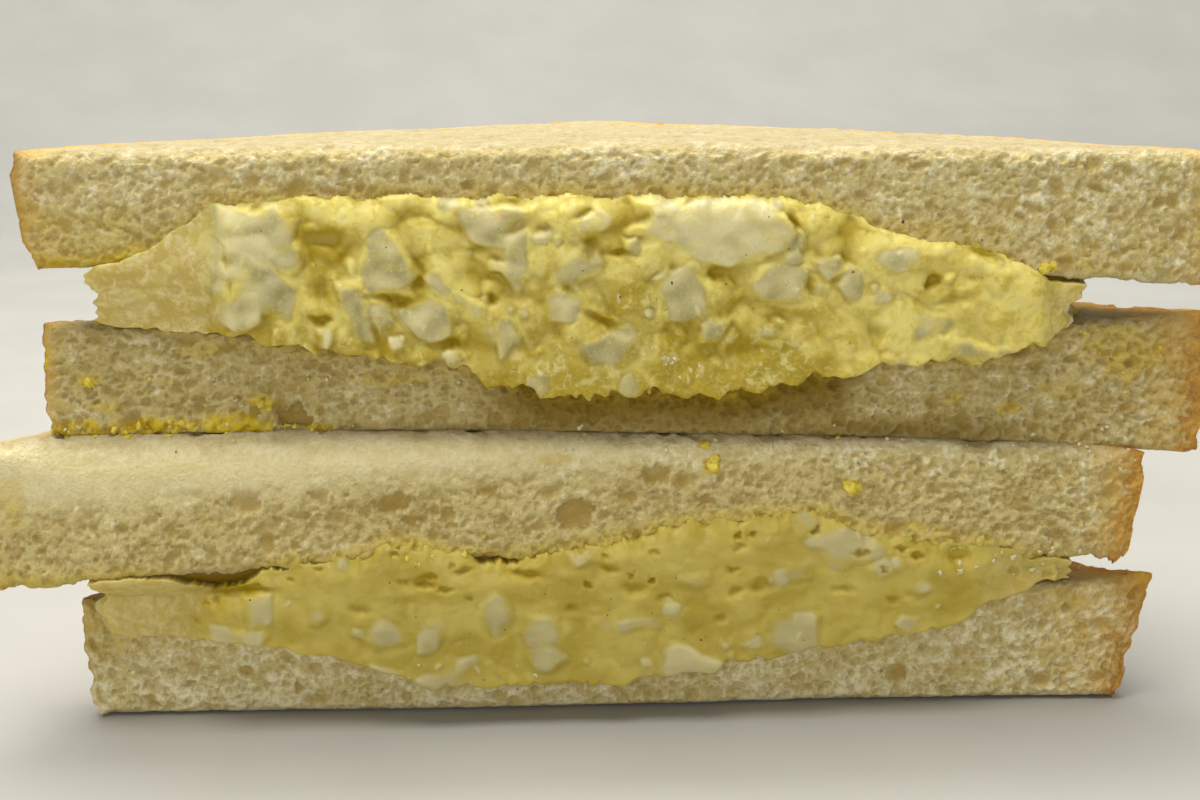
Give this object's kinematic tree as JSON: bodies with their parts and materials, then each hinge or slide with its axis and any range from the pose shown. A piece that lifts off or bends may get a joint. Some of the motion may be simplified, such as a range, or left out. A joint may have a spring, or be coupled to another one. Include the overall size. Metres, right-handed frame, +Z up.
{
  "type": "egg salad sandwich",
  "caption": "Thick white bread egg salad sandwich cut corner to corner, its triangular halves stacked with the cut faces to the front and the filling squeezed out over them.",
  "frame": {"origin": "middle of the footprint's bounding box, on the surface it rests on", "axes": "+Z up; X along the cut, +X to the right seen from the front; -Y is the side of the cut faces, +Y the back corner of the bread"},
  "size_m": [0.1652, 0.0824, 0.0788],
  "materials": {
    "bread": "matte, open crumb with a browned crust",
    "egg_salad": "moist, with egg white pieces"
  },
  "bodies": {
    "root": {"upper_half_top_slice": "bread", "upper_half_bottom_slice": "bread", "lower_half_top_slice": "bread", "lower_half_bottom_slice": "bread", "upper_half_filling": "egg_salad", "lower_half_filling": "egg_salad"}
  },
  "joints": []
}
